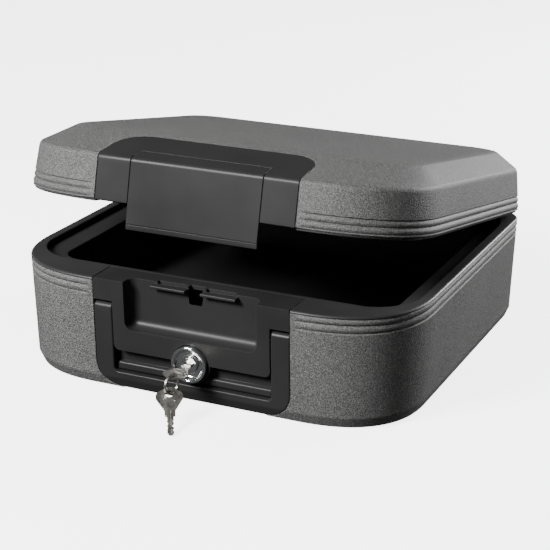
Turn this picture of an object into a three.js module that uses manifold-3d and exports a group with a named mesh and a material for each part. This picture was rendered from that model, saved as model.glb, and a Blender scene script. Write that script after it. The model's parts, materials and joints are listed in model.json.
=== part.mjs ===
// A fire-resistant document box: a deep base and a shallow hinged lid, each an outer shell, a block of
// insulation and an inner liner, with a front latch plate, a fold-down carry handle and a cam lock.
// Millimetres. +X runs along the front to the right, +Y to the back, +Z up. The floor is z = 0.
// The lid is modelled closed, then its group is turned about the hinge to stand ajar.
import * as THREE from 'three';
import { mergeVertices } from 'three/addons/utils/BufferGeometryUtils.js';
import Module from 'manifold-3d';

const wasm = await Module();
wasm.setup();

// Driving dimensions.
const WIDTH = 391;            // left to right
const DEPTH = 351;            // front to back, without the hinges and the keys
const RIM = 105;              // top of the base's rim
const LID_EDGE = RIM + 2.5;   // lower edge of the closed lid
const LID_BEND = RIM + 42.8;  // where the lid's wall turns into its slope
const LID_TOP = RIM + 60.3;   // the lid's flat top
const LID_AJAR = 11;          // degrees open at rest
const WALL = 3;               // outer shells
const LINER = 2.5;            // inner liners
const GAP = 0.3;              // between neighbouring pieces
const HALF_W = WIDTH / 2;
const FRONT = -DEPTH / 2;
const BACK = DEPTH / 2;

const PANEL_HALF = 96;        // front panel, handle and lid trim, half width
const WELL = { half: 166, front: -116, back: 145, floor: 38, radius: 20 };
const LEDGE = { half: 185, front: -139, back: 165, z: RIM - 7.4, radius: 44 };
const TONGUE = { half: 183.5, front: -137.5, back: 163.5, depth: 5.1, radius: 42.5 };
const CAVITY = { half: 166, front: -135.5, back: 145, ceiling: LID_EDGE + 22, radius: 20 };
const HINGE = { y: BACK + 4.5, z: RIM - 2.3, barrel: 4.2, pin: 2, x: 112 };
const LATCH = { half: 63.1, y: -157.8, z: RIM + 44, low: RIM - 20.6, barrel: 3, rod: 1.5 };
const RECESS = { half: 64.8, low: RIM - 45.5, back: FRONT + 14.5, radius: 8.5 };
const HANDLE = { y: -169.6, z: 77.25, barrel: 4.75, inner: 77.7, bar: 17, pin: 2 };
const LOCK = { z: 38.4, barrel: 12, plug: 7.7, boss: 19.5, bezel: 17 };
const KEY = { thick: 1.6, bow: 12, hole: 3.6, rim: 3, length: 48, blade: 3 };
const RING = { radius: 8.2, wire: 0.65, y: -208.3, z: 32.25, turn: -15 };
const SPARE = { swing: 20, heading: 30, lean: 55.6 };

const COLOURS = {
  shell: ['#4a4b4d', 0.75, 0], satin: ['#1c1d1f', 0.5, 0], liner: ['#151618', 0.6, 0],
  fill: ['#b9b4a8', 0.95, 0], seal: ['#0d0d0e', 0.9, 0], chrome: ['#d5d8db', 0.12, 1],
  steel: ['#9a9c9f', 0.35, 1], nickel: ['#b6b3aa', 0.3, 1],
};

const rad = THREE.MathUtils.degToRad;

// ---- solids ---------------------------------------------------------------------------------------

function toSolid(geometry) {
  const bare = geometry.clone();
  bare.deleteAttribute('normal');
  bare.deleteAttribute('uv');
  const merged = mergeVertices(bare, 1e-4);
  const mesh = new wasm.Mesh({
    numProp: 3,
    vertProperties: new Float32Array(merged.attributes.position.array),
    triVerts: new Uint32Array(merged.index.array),
  });
  mesh.merge();
  return new wasm.Manifold(mesh);
}

function toGeometry(solid) {
  const mesh = solid.getMesh();
  const geometry = new THREE.BufferGeometry();
  geometry.setAttribute('position', new THREE.BufferAttribute(new Float32Array(mesh.vertProperties), 3));
  geometry.setIndex(new THREE.BufferAttribute(new Uint32Array(mesh.triVerts), 1));
  geometry.computeVertexNormals();
  return geometry;
}

// A closed body through outlines of equal point count, each { z, points }, listed upwards.
function loft(sections) {
  const count = sections[0].points.length;
  const positions = [];
  const indices = [];
  for (const { z, points } of sections) {
    for (const [x, y] of points) positions.push(x, y, z);
  }
  for (let level = 0; level + 1 < sections.length; level += 1) {
    for (let i = 0; i < count; i += 1) {
      const next = (i + 1) % count;
      const low = level * count;
      const high = low + count;
      indices.push(low + i, low + next, high + next, low + i, high + next, high + i);
    }
  }
  const top = (sections.length - 1) * count;
  const bottomCentre = positions.length / 3;
  positions.push(0, 0, sections[0].z, 0, 0, sections[sections.length - 1].z);
  for (let i = 0; i < count; i += 1) {
    const next = (i + 1) % count;
    indices.push(bottomCentre, next, i, bottomCentre + 1, top + i, top + next);
  }
  const geometry = new THREE.BufferGeometry();
  geometry.setAttribute('position', new THREE.Float32BufferAttribute(positions, 3));
  geometry.setIndex(indices);
  return toSolid(geometry);
}

function box(x, y, z) {
  const geometry = new THREE.BoxGeometry(x[1] - x[0], y[1] - y[0], z[1] - z[0]);
  geometry.translate((x[0] + x[1]) / 2, (y[0] + y[1]) / 2, (z[0] + z[1]) / 2);
  return toSolid(geometry);
}

// A pair of boxes, mirrored left and right.
function boxPair(x, y, z) {
  return [box(x, y, z), box([-x[1], -x[0]], y, z)];
}

function cylinderX(radius, x, y, z, sides = 16) {
  const geometry = new THREE.CylinderGeometry(radius, radius, x[1] - x[0], sides);
  geometry.rotateZ(Math.PI / 2);
  geometry.translate((x[0] + x[1]) / 2, y, z);
  return toSolid(geometry);
}

function cylinderXPair(radius, x, y, z, sides = 16) {
  return [cylinderX(radius, x, y, z, sides), cylinderX(radius, [-x[1], -x[0]], y, z, sides)];
}

function cylinderY(radius, y, z, sides = 24) {
  const geometry = new THREE.CylinderGeometry(radius, radius, y[1] - y[0], sides);
  geometry.translate(0, (y[0] + y[1]) / 2, z);
  return toSolid(geometry);
}

// A closed profile of [radius, y] points, turned about the line x = 0, z = axisZ.
function latheY(profile, axisZ, segments) {
  const points = profile.map(([radius, y]) => new THREE.Vector2(radius, y));
  const geometry = new THREE.LatheGeometry(points, segments);
  geometry.translate(0, 0, axisZ);
  return toSolid(geometry);
}

function roundedShape(left, right, low, high, lowRadius, highRadius) {
  const shape = new THREE.Shape();
  shape.moveTo(left + lowRadius, low);
  shape.lineTo(right - lowRadius, low);
  shape.absarc(right - lowRadius, low + lowRadius, lowRadius, -Math.PI / 2, 0, false);
  if (highRadius > 0) {
    shape.absarc(right - highRadius, high - highRadius, highRadius, 0, Math.PI / 2, false);
    shape.absarc(left + highRadius, high - highRadius, highRadius, Math.PI / 2, Math.PI, false);
  } else {
    shape.lineTo(right, high);
    shape.lineTo(left, high);
  }
  shape.absarc(left + lowRadius, low + lowRadius, lowRadius, Math.PI, 1.5 * Math.PI, false);
  return shape;
}

// A shape drawn in x and z, extruded from y[0] back to y[1].
function extrudeY(shape, y, curveSegments = 6) {
  const geometry = new THREE.ExtrudeGeometry(shape, {
    depth: y[1] - y[0], bevelEnabled: false, curveSegments, steps: 1,
  });
  geometry.rotateX(Math.PI / 2);
  geometry.translate(0, y[1], 0);
  return toSolid(geometry);
}

// A shape drawn in x and y, extruded from z[0] up to z[1].
function extrudeZ(shape, z, curveSegments = 5) {
  const geometry = new THREE.ExtrudeGeometry(shape, {
    depth: z[1] - z[0], bevelEnabled: false, curveSegments, steps: 1,
  });
  geometry.translate(0, 0, z[0]);
  return toSolid(geometry);
}

// A polygon of [y, z] points, extruded along x.
function extrudeX(points, x) {
  const shape = new THREE.Shape(points.map(([y, z]) => new THREE.Vector2(y, z)));
  const geometry = new THREE.ExtrudeGeometry(shape, {
    depth: x[1] - x[0], bevelEnabled: false, steps: 1,
  });
  const toWorld = new THREE.Matrix4().makeBasis(
    new THREE.Vector3(0, 1, 0), new THREE.Vector3(0, 0, 1), new THREE.Vector3(1, 0, 0));
  geometry.applyMatrix4(toWorld);
  geometry.translate(x[0], 0, 0);
  return toSolid(geometry);
}

const join = (first, ...rest) => rest.flat().reduce((body, part) => body.add(part), first);
const cut = (first, ...tools) => tools.flat().reduce((body, tool) => body.subtract(tool), first);

function pocket({ half, front, back, radius }, grow, z, curveSegments = 5) {
  const shape = roundedShape(-half - grow, half + grow, front - grow, back + grow,
    radius + grow, radius + grow);
  return extrudeZ(shape, z, curveSegments);
}

// ---- the footprint and the two bodies ---------------------------------------------------------------

// The outline is straight in front and at the sides, with wide, squarish front corners and tight back
// ones. The points run counter-clockwise from the left end of the straight front.
function outline({ half, front, back, cornerX, cornerY, power, radius }) {
  const steps = 8;
  const backSteps = 3;
  const right = [];
  for (let i = 0; i <= steps; i += 1) {
    const t = (i / steps) * Math.PI / 2;
    right.push([
      half - cornerX + cornerX * Math.sin(t) ** (2 / power),
      front + cornerY - cornerY * Math.cos(t) ** (2 / power),
    ]);
  }
  for (let i = 0; i <= backSteps; i += 1) {
    const t = (i / backSteps) * Math.PI / 2;
    right.push([half - radius + radius * Math.cos(t), back - radius + radius * Math.sin(t)]);
  }
  const left = right.map(([x, y]) => [-x, y]).reverse();
  return [...right, ...left];
}

const RIM_OUTLINE = {
  half: HALF_W, front: FRONT, back: BACK, cornerX: 98, cornerY: 90, power: 2.45, radius: 25,
};
const LID_EDGE_OUTLINE = { ...RIM_OUTLINE, front: FRONT + 1.5 };
const BEND_OUTLINE = {
  half: HALF_W - 5, front: FRONT + 3, back: BACK - 3.5, cornerX: 94, cornerY: 88, power: 2.45, radius: 24,
};
const TOP_OUTLINE = {
  half: 168, front: -112, back: 160, cornerX: 62, cornerY: 40, power: 2.2, radius: 22,
};

function inset(shape, d) {
  return outline({
    ...shape, half: shape.half - d, front: shape.front + d, back: shape.back - d,
    cornerX: shape.cornerX - d, cornerY: shape.cornerY - d, radius: Math.max(shape.radius - d, 4),
  });
}

// The base's outside: a foot chamfer, then a slightly drafted wall up to the rim.
const CHAMFER = { z: 10.5, foot: 7.5, wall: 3.2 };

function baseBody(d, low, high) {
  const wallAt = (z) => CHAMFER.wall * (RIM - z) / (RIM - CHAMFER.z);
  return loft([
    { z: low, points: inset(RIM_OUTLINE, d + CHAMFER.foot) },
    { z: CHAMFER.z + low, points: inset(RIM_OUTLINE, d + CHAMFER.wall) },
    { z: high, points: inset(RIM_OUTLINE, d + wallAt(high)) },
  ]);
}

// The closed lid's outside, moved in by d, from the height low up to its flat top.
function lidBody(d, low) {
  const skirt = low < LID_EDGE ? [{ z: low, points: inset(LID_EDGE_OUTLINE, d) }] : [];
  return loft([
    ...skirt,
    { z: Math.max(low, LID_EDGE), points: inset(LID_EDGE_OUTLINE, d) },
    { z: LID_BEND - d / 2, points: inset(BEND_OUTLINE, d) },
    { z: LID_TOP - d, points: inset(TOP_OUTLINE, d) },
  ]);
}

// The round-cornered window in the base shell that the panel and handle fill.
const WINDOW_RADIUS = 25;

function frontWindow(grow, y) {
  const half = PANEL_HALF + grow;
  return extrudeY(roundedShape(-half, half, 1 - grow, RIM + 20, WINDOW_RADIUS + grow, 0), y);
}

// The arch of the lid's front trim, seen from above.
function trimArch(grow, z) {
  const half = PANEL_HALF + grow;
  const shape = roundedShape(-half, half, -200, -121 + grow, 0.5, 26 + grow);
  return extrudeZ(shape, z);
}

// ---- base -----------------------------------------------------------------------------------------

function hingeBarrels(spans, bracket) {
  let body = null;
  for (const span of spans) {
    const pieces = [
      cylinderX(HINGE.barrel, span, HINGE.y, HINGE.z, 12),
      ...bracket.map(([y, z]) => box(span, y, z)),
    ];
    body = body ? join(body, pieces) : join(pieces[0], pieces.slice(1));
  }
  return body;
}

function mirroredSpans(spans) {
  return [...spans, ...spans.map(([low, high]) => [-high, -low])];
}

const BASE_SPANS = mirroredSpans([[HINGE.x - 20, HINGE.x - 8], [HINGE.x + 8, HINGE.x + 20]]);
const LID_SPANS = mirroredSpans([[HINGE.x - 7.5, HINGE.x + 7.5]]);

function hingeBores() {
  return cylinderXPair(HINGE.pin + GAP, [HINGE.x - 24, HINGE.x + 24], HINGE.y, HINGE.z, 12);
}

function baseOuterShell() {
  const shellTop = RIM - 2.4 - GAP;
  const tub = cut(
    baseBody(0, 0, shellTop),
    baseBody(WALL, WALL, RIM),
    frontWindow(GAP, [-200, -143]).subtract(box([-200, 200], [-163, 0], [-50, WALL + 0.5])),
    box([-71, 71], [-200, -164], [-5, 5]),
  );
  const brackets = hingeBarrels(BASE_SPANS, [[[BACK - 2.5, HINGE.y], [HINGE.z - 10, HINGE.z - 0.5]]]);
  return cut(join(tub, brackets), hingeBores());
}

function baseInsulation() {
  const gap = 2 * GAP;
  return cut(
    baseBody(WALL + gap, WALL + gap, LEDGE.z - LINER - GAP - 0.4),
    pocket(WELL, LINER + GAP, [WELL.floor - LINER - GAP, RIM]),
    box([-PANEL_HALF - 1.5, PANEL_HALF + 1.5], [-200, -142.8], [-1, RIM]),
  );
}

function baseInnerLiner() {
  const ledgeUnder = LEDGE.z - LINER;
  const flange = baseBody(0, 0, RIM).intersect(box([-300, 300], [-300, 300], [RIM - 2.4, RIM]));
  const shelf = pocket(LEDGE, LINER, [ledgeUnder, RIM - 1]);
  const tub = pocket(WELL, LINER, [WELL.floor - LINER, RIM - 1]);
  return cut(
    join(flange, shelf, tub),
    pocket(LEDGE, 0, [LEDGE.z, RIM + 1]),
    pocket(WELL, 0, [WELL.floor, RIM + 1]),
    box([-PANEL_HALF - GAP, PANEL_HALF + GAP], [-200, -142.7], [0, RIM + 1]),
  );
}

const BOLT = { half: 7, top: 88.5, foot: 49.5, step: 62.5 };
const TAB = { inner: 7.2, outer: 41.8, front: -168.5, low: RIM - 4.6, high: RIM - 1.8 };
const BOLT_HOLE = { half: 6, low: RIM - 15.5, high: RIM - 10 };

const PANEL = {
  band: RIM - 20.3,            // underside of the rim band, over the handle's arms
  half: HANDLE.inner - 0.6,    // half width of the plate between the arms
  low: LOCK.z + 0.1,           // the plate's lower edge
  inside: -143,                // back of the rim band
  plateBack: RECESS.back + WALL,
};

// The rim band over a plate with the latch recess, its two catch tabs, and the round boss of the lock.
function baseFrontPanel() {
  const { plateBack } = PANEL;
  const front = join(
    box([-PANEL_HALF, PANEL_HALF], [-180, PANEL.inside], [PANEL.band, RIM]),
    extrudeY(roundedShape(-PANEL.half, PANEL.half, PANEL.low, 90, 6, 0), [-180, plateBack]),
    cylinderY(LOCK.boss, [-180, plateBack], LOCK.z),
  );
  const trimmed = front.intersect(baseBody(0, 0, RIM));
  const hollow = [PANEL.band + 1.3, RIM - 3];
  const opened = cut(
    trimmed,
    extrudeY(roundedShape(-RECESS.half, RECESS.half, RECESS.low, RIM + 20, RECESS.radius, 0),
      [-190, RECESS.back]),
    box([-TAB.inner, TAB.inner], [-170, RECESS.back + 6], [RIM - 6, RIM + 5]),
    box([-BOLT_HOLE.half, BOLT_HOLE.half], [-163, plateBack + 1], [BOLT_HOLE.low, BOLT_HOLE.high]),
    cylinderY(LOCK.bezel + GAP, [-190, FRONT + 2.8], LOCK.z, 28),
    cylinderY(LOCK.barrel + 0.2, [-190, -150], LOCK.z, 16),
    box([-PANEL_HALF + 5, PANEL_HALF - 5], [plateBack + 6, PANEL.inside + 3], hollow),
    boxPair([30, PANEL_HALF - 5], [plateBack + 0.1, plateBack + 7], hollow),
    box([-BOLT.half - 0.6, BOLT.half + 0.6], [plateBack - 0.1, -151], [80, BOLT_HOLE.high + 2]),
    cylinderXPair(HANDLE.pin + GAP, [70, 100], HANDLE.y, HANDLE.z, 12),
  );
  const tabs = boxPair([TAB.inner, TAB.outer], [TAB.front, RECESS.back + 1], [TAB.low, TAB.high]);
  return join(opened, tabs);
}

// The wall behind the handle: a U round the panel's plate, with the ledge that fingers hook over.
function handlePocket() {
  const half = PANEL_HALF - 2;
  const wall = [-163.5, -160.5];
  const foot = WALL + 0.5;
  return join(
    cut(
      box([-half, half], wall, [foot, PANEL.band - GAP]),
      box([-PANEL.half - GAP, PANEL.half + GAP], [-170, -150], [PANEL.low - GAP, RIM]),
      cylinderY(LOCK.boss + GAP, [-170, -150], LOCK.z),
    ),
    extrudeY(roundedShape(-PANEL.half + GAP, PANEL.half - GAP, 17.6, 25.5, 5.2, 0), [-168, wall[1]])
      .subtract(cylinderY(LOCK.boss + GAP, [-170, -150], LOCK.z)),
    box([-half, half], [wall[1] - 1, PANEL.inside], [foot, foot + 2.5]),
  );
}

function carryHandle() {
  const back = -164.85;
  const bend = 4.5;
  const half = PANEL_HALF - 0.1;
  const yoke = cut(
    extrudeY(roundedShape(-half, half, 1, HANDLE.z, WINDOW_RADIUS, 0), [-180, back]),
    extrudeY(roundedShape(-HANDLE.inner, HANDLE.inner, HANDLE.bar, RIM, bend, 0), [-190, 0]),
  );
  const ends = cylinderXPair(HANDLE.barrel, [HANDLE.inner, half], HANDLE.y, HANDLE.z, 24);
  return cut(
    join(yoke, ends).intersect(baseBody(0, 0, RIM)),
    cylinderXPair(HANDLE.pin + GAP, [70, 91], HANDLE.y, HANDLE.z, 12),
    boxPair([HANDLE.inner - 1, PANEL_HALF + 1], [-180, HANDLE.y - HANDLE.barrel - 0.05],
      [HANDLE.z - 2, HANDLE.z + 10]),
  );
}

// ---- lock -----------------------------------------------------------------------------------------

function lockBezel() {
  const face = FRONT + 2.6;
  const profile = [
    [LOCK.plug + 0.6, face - 0.1], [LOCK.bezel, face - 0.1], [LOCK.bezel, face - 4.2],
    [LOCK.bezel - 1.2, face - 5.4], [LOCK.bezel - 2.6, face - 5.2], [LOCK.bezel - 3.8, face - 3.6],
    [LOCK.plug + 0.6, face - 1.6], [LOCK.plug + 0.6, face - 0.1],
  ];
  return latheY(profile.reverse(), LOCK.z, 28);
}

function lockBarrel() {
  return cut(
    cylinderY(LOCK.barrel, [FRONT + 2.9, -151], LOCK.z, 16),
    cylinderY(LOCK.plug + GAP, [-180, -150], LOCK.z, 16),
  );
}

function lockPlug() {
  const front = FRONT - 1.5;
  const tail = box([-3, 3], [-151, -146], [LOCK.z - 3, LOCK.z + 3]);
  return cut(
    join(cylinderY(LOCK.plug, [front, -150.2], LOCK.z, 16), tail),
    box([-KEY.blade - 0.5, KEY.blade + 0.5], [front - 1, front + 23], [LOCK.z - 1.3, LOCK.z + 1.3]),
  );
}

function lockNut() {
  const shape = new THREE.Shape();
  shape.absarc(0, 0, 15, 0, 2 * Math.PI, false);
  const geometry = new THREE.ExtrudeGeometry(shape, { depth: 3, bevelEnabled: false, curveSegments: 6 });
  geometry.rotateX(Math.PI / 2);
  geometry.translate(0, -153.5, LOCK.z);
  return toSolid(geometry).subtract(cylinderY(LOCK.barrel + GAP, [-160, -150], LOCK.z, 16));
}

const CAM = { front: -149.9, back: -147.9, reach: 15 };

function lockCam() {
  const arm = join(
    cylinderY(6, [CAM.front, CAM.back], LOCK.z, 16),
    box([0, CAM.reach], [CAM.front, CAM.back], [LOCK.z - 4, LOCK.z + 4]),
  );
  return arm.subtract(box([-3.3, 3.3], [-152, -145], [LOCK.z - 3.3, LOCK.z + 3.3]));
}

function camScrew() {
  return cylinderY(5, [-145.7, -143.7], LOCK.z, 12);
}

// A strip of steel bent twice: up behind the panel, and down to where the cam lifts it.
function lockingBolt() {
  const x = [-BOLT.half, BOLT.half];
  return join(
    box(x, [-157.2, -155], [BOLT.step - 0.5, BOLT.top]),
    box(x, [-157.2, -147], [BOLT.step - 2.5, BOLT.step]),
    box(x, [-149.5, -147], [BOLT.foot, BOLT.step]),
  );
}

function boltGuide() {
  return cut(
    box([-12, 12], [-157.7, -152.5], [BOLT.step + 7.5, 80]),
    box([-BOLT.half - GAP, BOLT.half + GAP], [-158, -154.7], [60, 90]),
  );
}

const KEY_HOLE_Y = KEY.length - KEY.rim - KEY.hole;
const KEY_CUTS = [[5.5, 0.9], [9.5, 1.4], [14, 0.8]];   // places along the blade, and depths

// A flat key in its own frame: the tip at the origin, the bow's top at +Y, thickness along Z. The bow is
// round-shouldered and narrows in a straight taper to the neck.
function keyShape(cuts) {
  const blade = KEY.blade;
  const neck = { wide: blade + 1.7, low: 19, high: 25 };
  const lobe = { x: KEY.bow - 5.7, y: KEY_HOLE_Y - 2.8, radius: 5.7 };
  const top = KEY.hole + KEY.rim;
  const shape = new THREE.Shape();
  shape.moveTo(-blade * 0.5, 0);
  shape.lineTo(blade * 0.5, 0);
  shape.lineTo(blade, 2.5);
  for (const [at, depth] of cuts) {
    shape.lineTo(blade, at - depth);
    shape.lineTo(blade - depth, at);
    shape.lineTo(blade, at + depth);
  }
  shape.lineTo(blade, neck.low);
  shape.lineTo(neck.wide, neck.low);
  shape.lineTo(neck.wide, neck.high);
  shape.absarc(lobe.x, lobe.y, lobe.radius, rad(-32), rad(62), false);
  shape.absarc(0, KEY_HOLE_Y, top, rad(48), rad(132), false);
  shape.absarc(-lobe.x, lobe.y, lobe.radius, rad(118), rad(212), false);
  shape.lineTo(-neck.wide, neck.high);
  shape.lineTo(-neck.wide, neck.low);
  shape.lineTo(-blade, neck.low);
  shape.lineTo(-blade, 2.5);
  const hole = new THREE.Path();
  hole.absarc(0, KEY_HOLE_Y, KEY.hole, 0, 2 * Math.PI, true);
  shape.holes.push(hole);
  return shape;
}

function flatKey(cuts) {
  const geometry = new THREE.ExtrudeGeometry(keyShape(cuts), {
    depth: KEY.thick, bevelEnabled: false, curveSegments: 4, steps: 1,
  });
  geometry.translate(0, 0, -KEY.thick / 2);
  return toSolid(geometry);
}

// ---- lid ------------------------------------------------------------------------------------------

// The latch plate's outer face in y and z: down the front, over the bend and up the slope, set in by d.
function latchProfile(d, topY) {
  const lowY = LID_EDGE_OUTLINE.front - 0.85;
  const slope = (LID_TOP - LID_BEND) / (TOP_OUTLINE.front - BEND_OUTLINE.front);
  return [
    [lowY + d, LATCH.low],
    [BEND_OUTLINE.front + d, LID_BEND - 0.75 * d],
    [topY, LID_BEND - 0.75 * d + slope * (topY - BEND_OUTLINE.front - d)],
  ];
}

function latchPocket() {
  const [low, bend, top] = latchProfile(4.3, LATCH.y + 2);
  const outside = -190;
  const points = [
    [outside, low[1] - 10], [low[0], low[1] - 10], bend, top, [top[0], LID_TOP + 10], [outside, LID_TOP + 10],
  ];
  const x = [-LATCH.half - 0.4, LATCH.half + 0.4];
  return extrudeX(points, x).add(cylinderX(LATCH.barrel + 0.6, x, LATCH.y, LATCH.z, 20));
}

function lidOuterShell() {
  const shell = cut(
    lidBody(0, LID_EDGE),
    lidBody(WALL, LID_EDGE - 5),
    trimArch(GAP, [LID_EDGE - 10, LID_TOP + 10]),
  );
  const brackets = hingeBarrels(LID_SPANS, [
    [[BACK + 0.7, HINGE.y], [HINGE.z, LID_EDGE + 5]],
    [[BACK - 2, HINGE.y], [LID_EDGE + 1, LID_EDGE + 6]],
  ]);
  return cut(join(shell, brackets), hingeBores());
}

function lidFrontTrim() {
  const thickness = 10;
  const skin = lidBody(0, LID_EDGE).subtract(lidBody(thickness, LID_EDGE - 5));
  return cut(
    skin.intersect(trimArch(0, [RIM, LID_TOP + 5])),
    latchPocket(),
    cylinderX(LATCH.rod + GAP, [-LATCH.half - 4.3, LATCH.half + 4.3], LATCH.y, LATCH.z, 12),
  );
}

const LID_LINER_TOP = LID_EDGE + 2.5;

function lidInnerLiner() {
  const slab = cut(
    lidBody(WALL + GAP, LID_EDGE).intersect(box([-300, 300], [-300, 300], [LID_EDGE, LID_LINER_TOP])),
    box([-PANEL_HALF - GAP, PANEL_HALF + GAP], [-200, FRONT + 12.2], [RIM, LID_TOP]),
  );
  return cut(
    join(
      slab,
      pocket(CAVITY, LINER, [LID_EDGE, CAVITY.ceiling + LINER]),
      pocket(TONGUE, 0, [LID_EDGE - TONGUE.depth, LID_LINER_TOP]),
    ),
    pocket(CAVITY, 0, [LID_EDGE - 10, CAVITY.ceiling]),
    pocket(TONGUE, -LINER, [LID_EDGE - 10, LID_EDGE]),
  );
}

function lidInsulation() {
  return cut(
    lidBody(10.6, LID_LINER_TOP + GAP),
    pocket(CAVITY, LINER + GAP, [RIM, CAVITY.ceiling + LINER + GAP]),
  );
}

function lidGasket() {
  const loop = { half: 190.5, front: -156, back: 170.5, radius: 48 };
  return cut(
    pocket(loop, 0, [RIM + 0.5, LID_EDGE - GAP]),
    pocket(loop, -4, [RIM - 1, LID_EDGE + 1]),
  );
}

function latchPlate() {
  const outer = latchProfile(0, LATCH.y + 0.8);
  const inner = latchProfile(2.5, LATCH.y + 0.8);
  const plate = extrudeX([...outer, ...inner.reverse()], [-LATCH.half, LATCH.half]);
  const barrel = cylinderX(LATCH.barrel, [-LATCH.half, LATCH.half], LATCH.y, LATCH.z, 20);
  const rails = boxPair([9, 40], [-172.6, TAB.front - 0.9], [RIM - 8.5, RIM - 6]);
  return cut(
    join(plate, barrel, rails),
    cylinderX(LATCH.rod + GAP, [-LATCH.half - 1, LATCH.half + 1], LATCH.y, LATCH.z, 12),
    cylinderX(LATCH.barrel - 0.35, [-8, 8], LATCH.y, LATCH.z, 20),
  );
}

const SPRING = { turns: 4, length: 12, radius: 2.1, wire: 0.35, steps: 10 };   // steps for each turn

function latchSpring() {
  const count = SPRING.turns * SPRING.steps;
  const points = [];
  for (let i = 0; i <= count; i += 1) {
    const angle = (i / SPRING.steps) * 2 * Math.PI;
    points.push(new THREE.Vector3(
      SPRING.length * (i / count - 0.5), SPRING.radius * Math.cos(angle), SPRING.radius * Math.sin(angle)));
  }
  const shape = new THREE.Shape();
  shape.absarc(0, 0, SPRING.wire, 0, 2 * Math.PI, false);
  const geometry = new THREE.ExtrudeGeometry(shape, {
    steps: count, extrudePath: new THREE.CatmullRomCurve3(points), curveSegments: 3,
  });
  geometry.translate(0, LATCH.y, LATCH.z);
  return toSolid(geometry);
}

// ---- the assembly ---------------------------------------------------------------------------------

function mesh(name, colour, solid) {
  const [hex, roughness, metalness] = COLOURS[colour];
  const material = new THREE.MeshStandardMaterial({ color: hex, roughness, metalness });
  const piece = new THREE.Mesh(toGeometry(solid), material);
  piece.name = name;
  return piece;
}

const group = new THREE.Group();

group.add(
  mesh('base_outer_shell', 'shell', baseOuterShell()),
  mesh('base_insulation', 'fill', baseInsulation()),
  mesh('base_inner_liner', 'liner', baseInnerLiner()),
  mesh('base_front_panel', 'satin', baseFrontPanel()),
  mesh('handle_pocket', 'satin', handlePocket()),
  mesh('carry_handle', 'satin', carryHandle()),
  mesh('lock_bezel', 'chrome', lockBezel()),
  mesh('lock_barrel', 'steel', lockBarrel()),
  mesh('lock_nut', 'steel', lockNut()),
  mesh('lock_plug', 'chrome', lockPlug()),
  mesh('lock_cam', 'steel', lockCam()),
  mesh('cam_screw', 'steel', camScrew()),
  mesh('locking_bolt', 'steel', lockingBolt()),
  mesh('bolt_guide', 'liner', boltGuide()),
);

for (const [side, sign] of [['left', -1], ['right', 1]]) {
  const handleSpan = sign < 0 ? [-90.5, -70.5] : [70.5, 90.5];
  group.add(mesh(`handle_pin_${side}`, 'steel', cylinderX(HANDLE.pin, handleSpan, HANDLE.y, HANDLE.z, 12)));
  const hingeSpan = [sign * HINGE.x - 20.5, sign * HINGE.x + 20.5];
  group.add(mesh(`hinge_pin_${side}`, 'steel', cylinderX(HINGE.pin, hingeSpan, HINGE.y, HINGE.z, 12)));
}

// The key in the lock points into the plug, its bow flat.
const insertedKey = mesh('inserted_key', 'nickel', flatKey([]));
const outward = new THREE.Matrix4().makeBasis(
  new THREE.Vector3(-1, 0, 0), new THREE.Vector3(0, -1, 0), new THREE.Vector3(0, 0, 1));
insertedKey.quaternion.setFromRotationMatrix(outward);
const bowEnd = RING.y - 1.9;
insertedKey.position.set(0, bowEnd + KEY.length + 0.2, LOCK.z);
group.add(insertedKey);

// The split ring hangs through the bow's hole, and the spare key leans from the ring to the floor.
const ringGeometry = new THREE.TorusGeometry(RING.radius, RING.wire, 6, 24);
const keyRing = mesh('key_ring', 'nickel', toSolid(ringGeometry));
keyRing.rotation.set(0, rad(90), 0);
const ringTurn = new THREE.Group();
ringTurn.rotation.z = rad(RING.turn);
ringTurn.position.set(0, RING.y, RING.z);
ringTurn.add(keyRing);
group.add(ringTurn);

const spareKey = mesh('spare_key', 'nickel', flatKey(KEY_CUTS));
const heading = rad(SPARE.heading);
const lean = rad(SPARE.lean);
const toTip = new THREE.Vector3(
  Math.sin(heading) * Math.sin(lean), -Math.cos(heading) * Math.sin(lean), -Math.cos(lean));
const across = new THREE.Vector3(Math.cos(heading), Math.sin(heading), 0);
const alongKey = toTip.clone().negate();
const faceOut = new THREE.Vector3().crossVectors(across, alongKey);
spareKey.quaternion.setFromRotationMatrix(new THREE.Matrix4().makeBasis(across, alongKey, faceOut));
const swing = rad(SPARE.swing);
const hang = new THREE.Vector3(0, -RING.radius * Math.sin(swing), -RING.radius * Math.cos(swing))
  .applyAxisAngle(new THREE.Vector3(0, 0, 1), rad(RING.turn))
  .add(ringTurn.position);
spareKey.position.copy(hang).addScaledVector(toTip, KEY_HOLE_Y);
group.add(spareKey);

const lid = new THREE.Group();
lid.position.set(0, HINGE.y, HINGE.z);
lid.rotation.x = rad(-LID_AJAR);
const lidPieces = [
  mesh('lid_outer_shell', 'shell', lidOuterShell()),
  mesh('lid_insulation', 'fill', lidInsulation()),
  mesh('lid_inner_liner', 'liner', lidInnerLiner()),
  mesh('lid_gasket', 'seal', lidGasket()),
  mesh('lid_front_trim', 'satin', lidFrontTrim()),
  mesh('latch_plate', 'satin', latchPlate()),
  mesh('latch_rod', 'steel', cylinderX(LATCH.rod, [-LATCH.half - 4, LATCH.half + 4], LATCH.y, LATCH.z, 12)),
  mesh('latch_spring', 'steel', latchSpring()),
];
for (const piece of lidPieces) {
  piece.position.set(0, -HINGE.y, -HINGE.z);
  lid.add(piece);
}
group.add(lid);

export default group;
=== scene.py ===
import json
import math

import bmesh
import bpy
from mathutils import Matrix, Vector


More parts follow.
